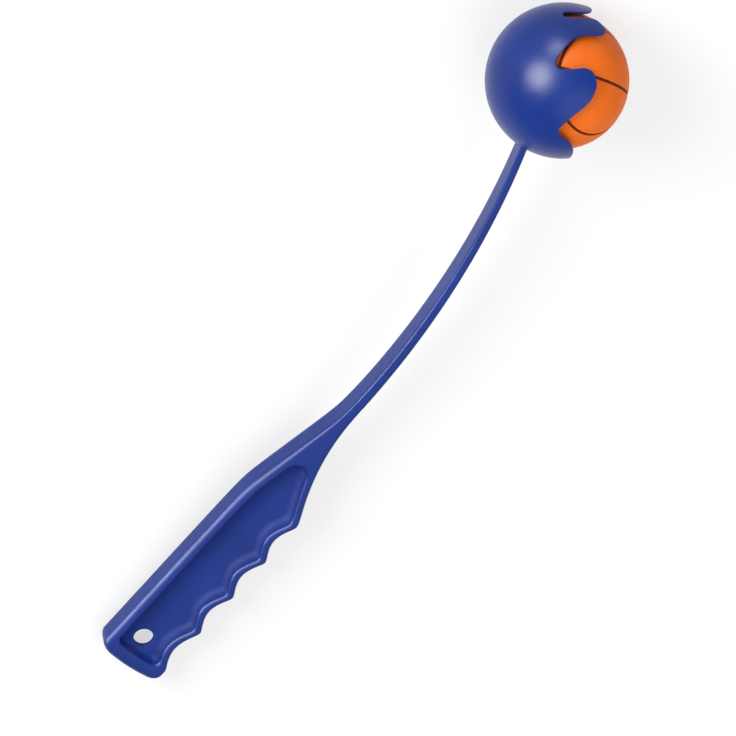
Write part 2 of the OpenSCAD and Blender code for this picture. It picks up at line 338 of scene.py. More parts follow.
def bowed(x, y):
    """Places along the stick, moved with the bow of its butt."""
    x = np.asarray(x, float)
    y = np.asarray(y, float)
    bow = BUTT_BOW * ((y - BOW_Y) / (SPINE_Y - BOW_Y)) ** 2
    return x + bow * (1 - ease((x + BUTT_X) / BOW_REACH))


# The long sides of the stick: a band of points from its lower face round to its upper face
def band(edge, side, half_t, q):
    """Points (across, through) of one side of a section."""
    turn = np.radians(np.linspace(-90.0, 0.0, BAND_ROUND))
    across = edge - side * q + side * q * np.cos(turn)
    through = -(half_t - q) + q * np.sin(turn)
    low = np.stack([across, through], axis=1)
    wall_z = np.array([-0.55 * (half_t - q), -0.3, 0.0, 0.3, 0.55 * (half_t - q)])
    wall = np.stack([np.full(BAND_WALL, edge), wall_z], axis=1)
    high = low[::-1] * np.array([1.0, -1.0])
    return np.concatenate([low, wall, high])


def band_outwards(side):
    """The directions in which the points of a band face."""
    turn = np.radians(np.linspace(-90.0, 0.0, BAND_ROUND))
    low = np.stack([side * np.cos(turn), np.sin(turn)], axis=1)
    wall = np.tile([side, 0.0], (BAND_WALL, 1))
    return np.concatenate([low, wall, low[::-1] * np.array([1.0, -1.0])])


def handle_section(x):
    """The handle's two sides, half its thickness, and the radii of its lower and upper edges."""
    c = float(corner_back(x + BUTT_X, BUTT_CORNER_R))
    lo = float(finger_side(x)) + c
    hi = float(spine_side(x)) - c
    half_t = float(top_z(x))
    most = min((hi - lo) / 2, half_t)
    low_q = min(rounding(x, -1), most) * ROUND_MOST
    high_q = min(rounding(x, 1), most) * ROUND_MOST
    return lo, hi, half_t, low_q, high_q


# How far the neck's spine stands proud where the shaft begins, and over what length that dies out
NECK_STEP = float(spine_side(SHAFT_X)) - SHAFT_Y - SHAFT_DEPTH / 2
NECK_FADE = NECK_STEP / (float(spine_side(SHAFT_X - 0.1) - spine_side(SHAFT_X)) / 0.1)


def shaft_section(a):
    """The shaft's two sides, half its width, and the radius of its edges."""
    t = a / SHAFT_TURN
    depth = mix(SHAFT_DEPTH, SHAFT_END_DEPTH, t)
    half_t = mix(SHAFT_W, SHAFT_END_W, t) / 2
    proud = NECK_STEP * math.exp(-a * SHAFT_BEND_R / NECK_FADE)
    return -depth / 2, depth / 2 + proud, half_t, SHAFT_EDGE_R * ROUND_MOST


def shaft_turned(points, a):
    """Section points of the shaft, put where they belong after a turn of angle a."""
    c = shaft_point(a)
    across = np.array([-math.sin(a), math.cos(a), 0.0])
    return c + points[:, :1] * across + points[:, 1:] * CUP_SIDE


def to_cup(points):
    """Points slid along the end of the shaft until they lie on the cup."""
    d = np.array([math.cos(SHAFT_TURN), math.sin(SHAFT_TURN), 0.0])
    q = points - CUP_MIDDLE
    b = q @ d
    root = np.sqrt(b * b - np.sum(q * q, axis=1) + CUP_OUT_R * CUP_OUT_R)
    return points - d * (b + root)[:, None]


def recess_outline(low_d, high_d):
    """The recess's closed outline, set in from its upper edge by low_d and high_d on its long sides."""
    d = (low_d + high_d) / 2
    run = d * RECESS_END_RUN if d > 0 else d
    start = RECESS_START + run
    end = RECESS_END - run
    x = start + (end - start) * (1 - np.cos(np.linspace(0, np.pi, 1600))) / 2
    r = max(RECESS_END_R - d, 1.0)
    back = corner_back(np.minimum(x - start, end - x), r)
    low = finger_side(x) + RIM_W + low_d + back
    high = spine_side(x) - RAIL_W - high_d - back
    middle = (low + high) / 2
    low = np.minimum(low, middle - 0.2)
    high = np.maximum(high, middle + 0.2)
    chains = [
        spaced(np.stack([x, low], axis=1), LONG_STEPS + 1)[:-1],
        spaced([(end, low[-1]), (end, high[-1])], NECK_END_STEPS + 1)[:-1],
        spaced(np.stack([x, high], axis=1)[::-1], LONG_STEPS + 1)[:-1],
        spaced([(start, high[0]), (start, low[0])], BUTT_END_STEPS + 1)[:-1],
    ]
    return np.concatenate(chains)


# How far each point of the recess's outline belongs to the spine, from 0 to 1
UP_NECK_END = np.arange(NECK_END_STEPS) / NECK_END_STEPS
DOWN_BUTT_END = 1 - np.arange(BUTT_END_STEPS) / BUTT_END_STEPS
TO_SPINE = np.concatenate([np.zeros(LONG_STEPS), UP_NECK_END, np.ones(LONG_STEPS), DOWN_BUTT_END])


def recess_profile(edge_r):
    """Steps of the recess's wall: how far in from its upper edge, and how deep."""
    depth = GRIP_T / 2 - WEB_T / 2
    lean = np.pi / 2 - RECESS_DRAFT
    turn = np.linspace(0.0, lean, 8)
    top = np.stack([edge_r * (np.sin(turn) - 1), edge_r * (1 - np.cos(turn))], axis=1)
    drop = depth - RECESS_FILLET * (1 - math.cos(lean))
    wall_to = np.array([top[-1, 0] + (drop - top[-1, 1]) * math.tan(RECESS_DRAFT), drop])
    wall = mix(top[-1], wall_to, np.linspace(0, 1, 5)[1:, None])
    back = np.linspace(lean, 0.0, 12)[1:]
    fillet_x = wall_to[0] + RECESS_FILLET * (math.sin(lean) - np.sin(back))
    fillet_z = depth - RECESS_FILLET * (1 - np.cos(back))
    return np.concatenate([top, wall, np.stack([fillet_x, fillet_z], axis=1)])


def mark_dull(data):
    """Marks how dull each vertex of the stick is: up to 1 deep in a recess, and a little on the grip."""
    places = np.array([v.co for v in data.vertices]) / MM
    outline = recess_outline(0.0, 0.0)
    outline[:, 0] = bowed(outline[:, 0], outline[:, 1])
    depth = (GRIP_T / 2 - np.abs(places[:, 2])) / (GRIP_T / 2 - WEB_T / 2)
    share = ease((depth - DULL_FROM) / DULL_OVER)
    near = (places[:, 0] > RECESS_START - 1) & (places[:, 0] < RECESS_END + 1) & (share > 0)
    within = np.zeros(len(places), bool)
    for i in np.nonzero(near)[0]:
        within[i] = inside(places[i], outline)
    mark = data.attributes.new("dull", "FLOAT", "POINT")
    worn = GRIP_WEAR * (1 - ease((places[:, 0] - BEND_X) / (SHAFT_X - BEND_X)))
    mark.data.foreach_set("value", np.maximum(np.where(within, share, 0.0), worn))


def on_face(points, z):
    """Points of the plane of the stick, bowed with the butt, at their heights."""
    points = np.asarray(points, float)
    x = bowed(points[:, 0], points[:, 1])
    return np.stack([x, points[:, 1], np.broadcast_to(z, len(points))], axis=1)


def stick_mesh():
    """Grip, neck and shaft as one skin, with a recess on both sides and a hole through the web."""
    build = Builder()
    turn = np.linspace(0.0, np.pi / 2, BUTT_ROWS)
    butt_start = 0.02
    butt_run = 5.0
    face_end = RECESS_END + 5.0
    butt = -BUTT_X + butt_start + butt_run * (1 - np.cos(turn))
    grip = np.linspace(-BUTT_X + butt_start + butt_run, face_end, GRIP_ROWS)[1:]
    neck = np.linspace(face_end, SHAFT_X, NECK_ROWS)[1:]
    stations = np.concatenate([butt, grip, neck])
    last_open = len(butt) + len(grip) - 1
    sides = {-1: [], 1: []}
    tops = {-1: [], 1: []}
    for x in stations:
        lo, hi, half_t, low_q, high_q = handle_section(x)
        for side, edge, q in ((-1, lo, low_q), (1, hi, high_q)):
            points = band(edge, side, half_t, q)
            sides[side].append(np.stack([bowed(x, points[:, 0]), points[:, 0], points[:, 1]], axis=1))
            tops[side].append((x, edge - side * q))
    stop = SHAFT_TURN * 0.955
    for a in np.linspace(0.0, stop, SHAFT_ROWS)[1:]:
        lo, hi, half_t, q = shaft_section(a)
        for side, edge in ((-1, lo), (1, hi)):
            sides[side].append(shaft_turned(band(edge, side, half_t, q), a))
    lo, hi, half_t, q = shaft_section(SHAFT_TURN)
    flare_r = 1.5
    flare_rows = 1 - 0.3 * np.linspace(0.93, 0.0, 16) ** 1.6
    for share in np.concatenate([np.linspace(0.1, 0.7, 7), flare_rows]):
        for side, edge in ((-1, lo), (1, hi)):
            end = to_cup(shaft_turned(band(edge, side, half_t, q), SHAFT_TURN))
            before = sides[side][len(stations) + SHAFT_ROWS - 2]
            points = mix(before, end, share)
            gap = np.linalg.norm(end - points, axis=1)
            grow = corner_back(gap, flare_r)[:, None]
            outwards = shaft_turned(band_outwards(side), SHAFT_TURN) - shaft_point(SHAFT_TURN)
            sides[side].append(points + outwards * grow)
    sunk = 0.9
    into_cup = sunk * np.array([math.cos(SHAFT_TURN), math.sin(SHAFT_TURN), 0.0])
    for side in (-1, 1):
        sides[side].append(sides[side][-1] + into_cup)

    rows = {side: [build.add(points) for points in sides[side]] for side in (-1, 1)}
    build.grid(rows[-1])
    build.grid(rows[1], flip=True)

    # Upper and lower faces past the recess, the butt and the end in the cup
    for end in (0, -1):
        strips = []
        for i in range(last_open, len(sides[1])):
            a = sides[-1][i][end]
            b = sides[1][i][end]
            strips.append(build.add([mix(a, b, t) for t in np.linspace(0, 1, FACE_COLUMNS)]))
        build.grid(strips, flip=end == 0)
    for i, count, flip in ((0, BUTT_COLUMNS, False), (len(sides[1]) - 1, FACE_COLUMNS, True)):
        share = np.linspace(0, 1, count)[1:-1, None]
        between = mix(sides[-1][i][-1], sides[1][i][-1], share)
        if i == 0:
            between[:, 0] = bowed(stations[0], between[:, 1])
        upper = list(sides[-1][i][BAND // 2:])
        upper += list(between)
        upper += list(sides[1][i][BAND // 2:][::-1])
        lower = [p * np.array([1.0, 1.0, -1.0]) for p in upper]
        build.grid([build.add(upper), build.add(lower)], flip=flip)

    # The faces round the recesses, with the recesses' walls and floors
    low_steps = recess_profile(RECESS_FINGER_EDGE_R)
    high_steps = recess_profile(RECESS_EDGE_R)
    outlines = [recess_outline(low[0], high[0]) for low, high in zip(low_steps, high_steps)]
    low_line = tops[-1][:last_open + 1]
    high_line = tops[1][:last_open + 1]
    end_line = inner_points(low_line[-1], high_line[-1], FACE_COLUMNS)
    butt_line = inner_points(high_line[0], low_line[0], BUTT_COLUMNS)
    border = low_line + end_line + high_line[::-1] + butt_line
    soft = []
    clear = 2.2
    for x in butt[2::2]:
        if x < RECESS_START - clear:
            lo, hi, half_t, low_q, high_q = handle_section(x)
            soft.extend((x, y) for y in np.linspace(lo + low_q, hi - high_q, 24)[1:-1])
    face = filled([border, [tuple(p) for p in outlines[0]]], soft)
    turns = np.linspace(0, 2 * np.pi, HOLE_STEPS + 1)[:-1]
    wheel = np.stack([np.cos(turns), np.sin(turns)], axis=1)
    floor = filled([[tuple(p) for p in outlines[-1]], [tuple(p) for p in wheel * (HOLE_R + HOLE_EDGE_R)]])
    for side in (1, -1):
        points, triangles = face
        points = np.array(points)
        numbers = build.add(on_face(points, side * top_z(points[:, 0])))
        build.faces.extend(tuple(numbers[i] for i in tri) for tri in triangles)
        steps = []
        for low, high, outline in zip(low_steps, high_steps, outlines):
            full = top_z(outline[:, 0])
            scale = (full - WEB_T / 2) / (GRIP_T / 2 - WEB_T / 2)
            depth = mix(low[1], high[1], TO_SPINE) * scale
            steps.append(build.add(on_face(outline, side * (full - depth))))
        build.grid(steps, closed=True)
        points, triangles = floor
        numbers = build.add(on_face(points, side * WEB_T / 2))
        build.faces.extend(tuple(numbers[i] for i in tri) for tri in triangles)
    edge = []
    for t in np.radians(np.linspace(0, 90, 5)):
        r = HOLE_R + HOLE_EDGE_R * (1 - math.sin(t))
        edge.append((r, WEB_T / 2 - HOLE_EDGE_R * (1 - math.cos(t))))
    wall = edge + [(r, -z) for r, z in edge[::-1]]
    build.grid([build.add(on_face(wheel * r, z)) for r, z in wall], closed=True)
    data = build.mesh("stick")
    mark_dull(data)
    return data


# Outline of the cup's rim, by azimuth from the cup's top and latitude, as in the part's source,
# apart from a fuller edge of the right top finger beside the slot
def curve(points, steps=24):
    """Smooth curve through points, as short straight steps, without its last point."""
    p = np.array(points, float)
    n = len(p) - 1
    out = []
    for i in range(n):
        p0, p1, p2, p3 = p[max(0, i - 1)], p[i], p[i + 1], p[min(n, i + 2)]
        for t in np.arange(steps) / steps:
            part = (2 * p0 - 5 * p1 + 4 * p2 - p3) * t * t + (3 * p1 - p0 - 3 * p2 + p3) * t ** 3
            out.append(0.5 * (2 * p1 + (p2 - p0) * t + part))
    return out


# Short names for the tables below
S = SLOT_HALF
R = ROOT_LAT
TIP = TIP_LAT
TIP_L = LEFT_TIP_LAT
RIGHT_TOP = [
    (S, R), (S - 1.5, 0.5), (S - 2.4, TIP - 8.1), (S + 0.8, TIP - 3.2), (S + 5.8, TIP - 0.1),
    (S + 10.2, TIP - 0.4), (18.2, TIP - 5), (20, 4.9), (21.4, -1.3), (24, R),
]
LEFT_TOP = [
    (S, R), (S, -3), (S + 1.6, 2), (S + 6, TIP_L - 2.2), (17, TIP_L),
    (22, TIP_L), (29, TIP_L - 1.2), (34, 3.4), (36.6, -2), (38, R),
]
SIDE = [
    (49.7, R), (48.2, -1.6), (48.4, 3.2), (51.4, 7.7), (57.2, 10.6),
    (61.6, 11), (68.6, 9.6), (75.9, 5.8), (84.7, -1), (95.4, R),
]
RIGHT_NOTCH = [
    (24, R), (25.8, -9.8), (29.3, -12.9), (38.2, -19), (43.8, -21.7), (47.2, -22.3),
    (49.8, -21.4), (51.4, -18.6), (51.4, -14.6), (49.7, R),
]
LEFT_NOTCH = [
    (38, R), (38.8, -10.6), (41.2, -15.6), (45, -18.8), (48.4, -18.9), (50.4, -16.4),
    (50.8, -11.8), (49.7, R),
]
LOW_NOTCH = [
    (95.4, R), (99.4, R - 1.1), (102, -7.6), (104.6, -5.4), (107.2, -1.6), (110.3, 2.9),
    (114.9, 7.2), (121.5, 10.4), (133, 12.8), (150, 14.1), (180, 14.4),
]


def rim_line():
    """The whole rim as one closed line of directions, softened a little where its stretches meet."""
    arc = np.radians(np.linspace(-90, 90, 60))
    slot = [(S * math.sin(a), SLOT_LAT + S * (1 - math.cos(a))) for a in arc]
    right = curve(RIGHT_TOP) + curve(RIGHT_NOTCH) + curve(SIDE) + curve(LOW_NOTCH)
    left = curve(LEFT_TOP) + curve(LEFT_NOTCH) + curve(SIDE) + curve(LOW_NOTCH)
    left = [(-p[0], p[1]) for p in left]
    line = np.array(slot + right + LOW_NOTCH[-1:] + left[::-1])
    line = on_sphere(line[:, 0], line[:, 1])
    line = np.concatenate([line, line[:1]])
    line = spaced(line, 6000)[:-1]
    step = np.linalg.norm(line[1] - line[0]) * CUP_OUT_R
    reach = int(round(RIM_SOFT / step))
    weights = np.hanning(2 * reach + 3)[1:-1]
    weights /= weights.sum()
    soft = sum(w * np.roll(line, k - reach, axis=0) for k, w in enumerate(weights))
    return soft / np.linalg.norm(soft, axis=1)[:, None]


def on_sphere(turn, lat):
    """Directions in the cup's own axes, by azimuth and latitude."""
    turn = np.radians(turn)
    lat = np.radians(lat)
    return np.stack([np.cos(lat) * np.cos(turn), np.cos(lat) * np.sin(turn), np.sin(lat)], axis=1)


def angles(directions):
    """Azimuth and latitude of directions."""
    turn = np.degrees(np.arctan2(directions[:, 1], directions[:, 0]))
    return turn, np.degrees(np.arcsin(np.clip(directions[:, 2], -1, 1)))


def flattened(directions):
    """Directions on a flat map of the cup, seen from its back."""
    turn, lat = angles(directions)
    out = 90 + lat
    return np.stack([out * np.cos(np.radians(turn)), out * np.sin(np.radians(turn))], axis=1)


def unflattened(points):
    """Directions of points on the flat map."""
    out = np.hypot(points[:, 0], points[:, 1])
    return on_sphere(np.degrees(np.arctan2(points[:, 1], points[:, 0])), out - 90)


def parted(triangles, cuts):
    """Triangles in groups joined by shared edges, apart from the edges in cuts."""
    beside = {}
    for n, (a, b, c) in enumerate(triangles):
        for pair in ((a, b), (b, c), (c, a)):
            beside.setdefault(tuple(sorted(pair)), []).append(n)
    near = [[] for _ in triangles]
    for pair, numbers in beside.items():
        if len(numbers) == 2 and pair not in cuts:
            near[numbers[0]].append(numbers[1])
            near[numbers[1]].append(numbers[0])
    groups = []
    seen = set()
    for first in range(len(triangles)):
        if first in seen:
            continue
        seen.add(first)
        group = [first]
        for n in group:
            for other in near[n]:
                if other not in seen:
                    seen.add(other)
                    group.append(other)
        groups.append([triangles[n] for n in group])
    return groups


# Pieces of the cup: name, the azimuths of a finger's root, and the latitude of its tip
FINGERS = (
    ("right_top_finger", S, 24.0, TIP_LAT),
    ("right_side_finger", 49.7, 95.4, 11.0),
    ("left_side_finger", -95.4, -49.7, 11.0),
    ("left_top_finger", -38.0, -S, LEFT_TIP_LAT),
)


def in_radius(directions, rim):
    """Radius of the cup's inside: fingers thicken towards their tips, and the wall thins at the rim."""
    turn, lat = angles(directions)
    thick = np.zeros(len(directions))
    margin = 6.0
    for _, a, b, tip in FINGERS:
        on = (turn > a - margin) & (turn < b + margin) & (lat > ROOT_LAT)
        thick = np.where(on, TIP_GRIP * np.clip((lat - ROOT_LAT) / (tip - ROOT_LAT), 0, 1), thick)
    apart = [np.sqrt(np.min(np.sum((rim - d) ** 2, axis=1))) for d in directions]
    away = np.array(apart) * CUP_OUT_R
    return mix(CUP_OUT_R - RIM_T, CUP_IN_R - thick, ease(away / RIM_REACH))


def cup_meshes():
    """The bowl and the four fingers as closed skins that meet at the fingers' roots."""
    line = rim_line()
    turn, lat = angles(line)
    roots = []
    off = np.abs(lat - ROOT_LAT)
    for _, a, b, _ in FINGERS:
        for at in (a, b):
            near = np.abs(turn - at) + np.where(off < 0.5, off * 20, 1e3)
            roots.append(int(np.argmin(near)))
    order = sorted(roots)
    stretches = []
    for i, j in zip(order, order[1:] + [order[0] + len(line)]):
        part = line[np.arange(i, j + 1) % len(line)]
        length = np.linalg.norm(np.diff(part, axis=0), axis=1).sum() * CUP_OUT_R
        part = spaced(part, max(8, int(round(length / RIM_STEP))) + 1)[:-1]
        stretches.append(part / np.linalg.norm(part, axis=1)[:, None])
    starts = np.concatenate([[0], np.cumsum([len(part) for part in stretches])])
    rim = np.concatenate(stretches)
    count = len(rim)
    root_at = {number: int(starts[k]) for k, number in enumerate(order)}

    along = np.roll(rim, -1, axis=0) - np.roll(rim, 1, axis=0)
    along -= np.sum(along * rim, axis=1)[:, None] * rim
    along /= np.linalg.norm(along, axis=1)[:, None]
    inwards = np.cross(rim, along)
    if np.sum(inwards * np.array([0.0, 0.0, -1.0])) < 0:
        inwards = -inwards

    def from_rim(inset):
        moved = rim + inwards * (inset / CUP_OUT_R)
        return moved / np.linalg.norm(moved, axis=1)[:, None]

    edge = from_rim(RIM_EDGE_R)
    border = [tuple(p) for p in flattened(edge)]

    # Lines of the fingers' roots across the skin, between two points of its border
    root_lines = []
    for k in range(len(FINGERS)):
        first = root_at[roots[2 * k]]
        last = root_at[roots[2 * k + 1]]
        a, _ = angles(edge[[first, last]])
        inner = np.linspace(a[0], a[1], max(4, int(abs(a[1] - a[0]) / ROOT_STEP)))[1:-1]
        root_lines.append((first, last, on_sphere(inner, np.full(len(inner), ROOT_LAT))))
    points = list(border)
    edges = [(i, (i + 1) % count) for i in range(count)]
    chains = []
    for first, last, inner in root_lines:
        numbers = [first] + list(range(len(points), len(points) + len(inner))) + [last]
        points.extend(tuple(p) for p in flattened(inner))
        edges.extend(zip(numbers[:-1], numbers[1:]))
        chains.append(numbers)
    solid = np.array(points)
    map_reach = 108
    rows = np.arange(-map_reach, map_reach, SKIN_STEP * math.sqrt(3) / 2)
    loop = np.array(border)
    for n, y in enumerate(rows):
        for x in np.arange(-map_reach, map_reach, SKIN_STEP) + (n % 2) * SKIN_STEP / 2:
            if math.hypot(x, y) > map_reach - 1:
                continue
            if np.min((solid[:, 0] - x) ** 2 + (solid[:, 1] - y) ** 2) < SKIN_CLEAR:
                continue
            if inside((x, y), loop):
                points.append((x, y))
    result = delaunay_2d_cdt([Vector(p) for p in points], edges, [], 0, 1e-7, True)
    verts, triangles, origins = result[0], result[2], result[3]
    back = [o[0] for o in origins]
    directions = unflattened(np.array(points))
    directions[:count] = edge
    kept = []
    for tri in triangles:
        middle = np.array([sum(verts[i][0] for i in tri), sum(verts[i][1] for i in tri)]) / 3
        if inside(middle, loop):
            kept.append(tuple(back[i] for i in tri))
    cuts = set(tuple(sorted(pair)) for chain in chains for pair in zip(chain[:-1], chain[1:]))
    pieces = {}
    margin = 8.0
    for group in parted(kept, cuts):
        at, height = angles(directions[sorted(set(i for tri in group for i in tri))])
        owner = "cup_bowl"
        for name, a, b, _ in FINGERS:
            if np.mean(height) > ROOT_LAT and a - margin < np.mean(at) < b + margin:
                owner = name
        pieces[owner] = group
    assert len(pieces) == 5

    # The rounded edge between the two skins: how far in from the rim, how deep, and where it faces
    turns = np.radians(np.linspace(0, 90, 5))
    steps = [(RIM_EDGE_R * (1 - math.sin(t)), 0, RIM_EDGE_R * (1 - math.cos(t)), t) for t in turns]
    steps += [(a, 1, depth, -t) for a, _, depth, t in steps[::-1]]
    radius = in_radius(rim, rim)
    rings = []
    facing = []
    for inset, skin, depth, t in steps:
        r = radius + depth if skin else np.full(count, CUP_OUT_R - depth)
        d = from_rim(inset)
        rings.append(d * r[:, None])
        side = -1.0 if skin else 1.0
        facing.append(side * math.cos(t) * d - abs(math.sin(t)) * inwards)
    outer = directions * CUP_OUT_R
    inner = directions * in_radius(directions, rim)[:, None]
    inner[:count] = rings[-1]
    spans = {}
    for k, (name, _, _, _) in enumerate(FINGERS):
        ends = sorted((root_at[roots[2 * k]], root_at[roots[2 * k + 1]]))
        spans[name] = list(range(ends[0], ends[1]))
    taken = set(i for span in spans.values() for i in span)
    spans["cup_bowl"] = [i for i in range(count) if i not in taken]

    def on_edge(k, i):
        i = i % count
        if k == 0:
            return (("o", i), outer[i], directions[i])
        if k == len(steps) - 1:
            return (("i", i), inner[i], -directions[i])
        return (("e", k, i), rings[k][i], facing[k][i])

    meshes = {}
    for name, triangles in pieces.items():
        corners = []
        for a, b, c in triangles:
            if np.dot(np.cross(outer[b] - outer[a], outer[c] - outer[a]), directions[a]) < 0:
                b, c = c, b
            corners.append([(("o", i), outer[i], directions[i]) for i in (a, b, c)])
            corners.append([(("i", i), inner[i], -directions[i]) for i in (c, b, a)])
        for i in spans[name]:
            for k in range(len(steps) - 1):
                quad = [on_edge(k, i), on_edge(k, i + 1), on_edge(k + 1, i + 1), on_edge(k + 1, i)]
                normal = np.cross(quad[2][1] - quad[0][1], quad[3][1] - quad[1][1])
                if np.dot(normal, facing[k][i % count] + facing[k + 1][i % count]) < 0:
                    quad = quad[::-1]
                corners.append(quad)
        for k, (finger, _, _, _) in enumerate(FINGERS):
            if name not in (finger, "cup_bowl"):
                continue
            up = np.array([0.0, 0.0, 1.0]) * (1 if name == "cup_bowl" else -1)
            chain = chains[k]
            quads = [[("o", a), ("o", b), ("i", b), ("i", a)] for a, b in zip(chain[:-1], chain[1:])]
            for i in (chain[0], chain[-1]):
                quads.append([on_edge(j, i)[0] for j in range(len(steps))])
            for quad in quads:
                place = [at_key(key, outer, inner, rings) for key in quad]
                spokes = [p - place[0] for p in place[1:]]
                normal = sum(np.cross(p, q) for p, q in zip(spokes[:-1], spokes[1:]))
                if np.dot(normal, up) < 0:
                    quad = quad[::-1]
                    place = place[::-1]
                corners.append([(key, p, up) for key, p in zip(quad, place)])
        meshes[name] = skinned(name, corners)
    return meshes


def at_key(key, outer, inner, rings):
    """The place of a corner of the cup, by its key."""
    if key[0] == "o":
        return outer[key[1]]
    if key[0] == "i":
        return inner[key[1]]
    return rings[key[1]][key[2]]


def in_cup(points):
    """Points or directions of the cup's own axes, turned into the shared frame."""
    points = np.asarray(points, float)
    return points[:, :1] * CUP_TOP + points[:, 1:2] * CUP_SIDE + points[:, 2:] * CUP_MOUTH


def skinned(name, corners):
    """A mesh from faces whose corners carry a key, a place and a normal."""
    numbers = {}
    places = []
    faces = []
    normals = []
    for face in corners:
        ids = []
        for key, place, normal in face:
            if key not in numbers:
                numbers[key] = len(places)
                places.append(place)
            ids.append(numbers[key])
            normals.append(normal)
        faces.append(ids)
    places = (in_cup(np.array(places)) + CUP_MIDDLE) * MM
    data = bpy.data.meshes.new(name)
    data.from_pydata([tuple(p) for p in places], [], faces)
    data.shade_smooth()
    normals = in_cup(np.array(normals))
    normals /= np.linalg.norm(normals, axis=1)[:, None]
    data.normals_split_custom_set([tuple(n) for n in normals])
    return data


# The ball and its seams
def seam_axes():
    """The seam pattern's axes in the shared frame, as columns."""
    turned = Matrix.Rotation(math.radians(SEAM_TURN[2]), 3, "Z")
    turned = turned @ Matrix.Rotation(math.radians(SEAM_TURN[1]), 3, "Y")
    turned = turned @ Matrix.Rotation(math.radians(SEAM_TURN[0]), 3, "X")
    cup = np.stack([CUP_TOP, CUP_SIDE, CUP_MOUTH], axis=1)
    return cup @ np.array(turned)


SEAM_AXES = seam_axes()


def ball_mesh():
    """A round ball from six bent squares, grooved along its seams."""
    build = Builder()
    ticks = np.tan(np.linspace(-np.pi / 4, np.pi / 4, BALL_CELLS + 1))
    for axis in range(3):
        for side in (-1.0, 1.0):
            rows = []
            for v in ticks:
                row = np.zeros((BALL_CELLS + 1, 3))
                row[:, axis] = side
                row[:, (axis + 1) % 3] = ticks
                row[:, (axis + 2) % 3] = v
                row /= np.linalg.norm(row, axis=1)[:, None]
                rows.append(build.add(BALL_MIDDLE + grooved(row)[:, None] * (row @ SEAM_AXES.T)))
            build.grid(rows)
    return build.mesh("ball")


def grooved(n):
    """Radius of the ball in a direction of the seam pattern."""
    from_x = np.degrees(np.arccos(np.clip(n[:, 0], -1, 1)))
    gaps = [np.abs(from_x - at) for at in (SEAM_LOOP, 90.0, 180.0 - SEAM_LOOP)]
    gaps.append(np.abs(np.degrees(np.arcsin(np.clip(n[:, 1], -1, 1)))))
    gap = np.radians(np.minimum.reduce(gaps)) * BALL_R
    return BALL_R - SEAM_GROOVE * (1 - ease((gap - SEAM_GROOVE_FLAT) / SEAM_GROOVE_SLOPE))


def seam_mesh():
    """Two great circles and two round seams, each a low bead that lies in its groove."""
    build = Builder()
    half = SEAM_W / 2
    top = np.linspace(-half, half, 9)
    crown = BALL_R - SEAM_RECESS + SEAM_CROWN * (1 - (top / half) ** 2) - SEAM_DROP
    profile = list(zip(top, crown)) + [(half, BALL_R - SEAM_FOOT), (-half, BALL_R - SEAM_FOOT)]
    turns = np.linspace(0, 2 * np.pi, SEAM_STEPS + 1)[:-1]
    for axis, angle in ((1, 90.0), (0, SEAM_LOOP), (0, 90.0), (0, 180.0 - SEAM_LOOP)):
        rows = []
        for t in turns:
            row = []
            for across, r in profile:
                at = math.radians(angle) + across / BALL_R
                n = np.zeros(3)
                n[axis] = math.cos(at)
                n[(axis + 1) % 3] = math.sin(at) * math.cos(t)
                n[(axis + 2) % 3] = math.sin(at) * math.sin(t)
                row.append(BALL_MIDDLE + r * (SEAM_AXES @ n))
            rows.append(build.add(row))
        build.grid(rows + rows[:1], closed=True)
    data = build.mesh("ball_seam")
    data.set_sharp_from_angle(angle=math.radians(50))
    return data


# Materials
def material(name):
    """A new material, its node tree, its shader and its object coordinates."""
    made = bpy.data.materials.new(name)
    made.use_nodes = True
    tree = made.node_tree
    shader = tree.nodes["Principled BSDF"]
    where = tree.nodes.new("ShaderNodeTexCoord")
    return made, tree, shader, where.outputs["Object"]


def noise(tree, where, scale, detail=3.0, rough=0.5):
    node = tree.nodes.new("ShaderNodeTexNoise")
    node.inputs["Scale"].default_value = scale
    node.inputs["Detail"].default_value = detail
    node.inputs["Roughness"].default_value = rough
    tree.links.new(where, node.inputs["Vector"])
    return node.outputs["Fac"]


def ramp(tree, value, stops):
    node = tree.nodes.new("ShaderNodeValToRGB")
    while len(node.color_ramp.elements) < len(stops):
        node.color_ramp.elements.new(0.5)
    for element, (at, colour) in zip(node.color_ramp.elements, stops):
        element.position = at
        element.color = (*colour, 1.0)
    tree.links.new(value, node.inputs["Fac"])
    return node.outputs["Color"]


def spread(tree, value, low, high, at_low=0.3, at_high=0.7):
    """A value's range, stretched to run from low to high."""
    node = tree.nodes.new("ShaderNodeMapRange")
    node.inputs["From Min"].default_value = at_low
    node.inputs["From Max"].default_value = at_high
    node.inputs["To Min"].default_value = low
    node.inputs["To Max"].default_value = high
    tree.links.new(value, node.inputs["Value"])
    return node.outputs["Result"]


def bumped(tree, shader, heights):
    """A chain of bumps: height, strength and distance in metres."""
    normal = None
    for height, strength, distance in heights:
        node = tree.nodes.new("ShaderNodeBump")
        node.inputs["Strength"].default_value = strength
        node.inputs["Distance"].default_value = distance
        tree.links.new(height, node.inputs["Height"])
        if normal is not None:
            tree.links.new(normal, node.inputs["Normal"])
        normal = node.outputs["Normal"]
    tree.links.new(normal, shader.inputs["Normal"])


def stretched(tree, where, scale, turn=(0.0, 0.0, 0.0)):
    node = tree.nodes.new("ShaderNodeMapping")
    node.inputs["Scale"].default_value = scale
    node.inputs["Rotation"].default_value = turn
    tree.links.new(where, node.inputs["Vector"])
    return node.outputs["Vector"]


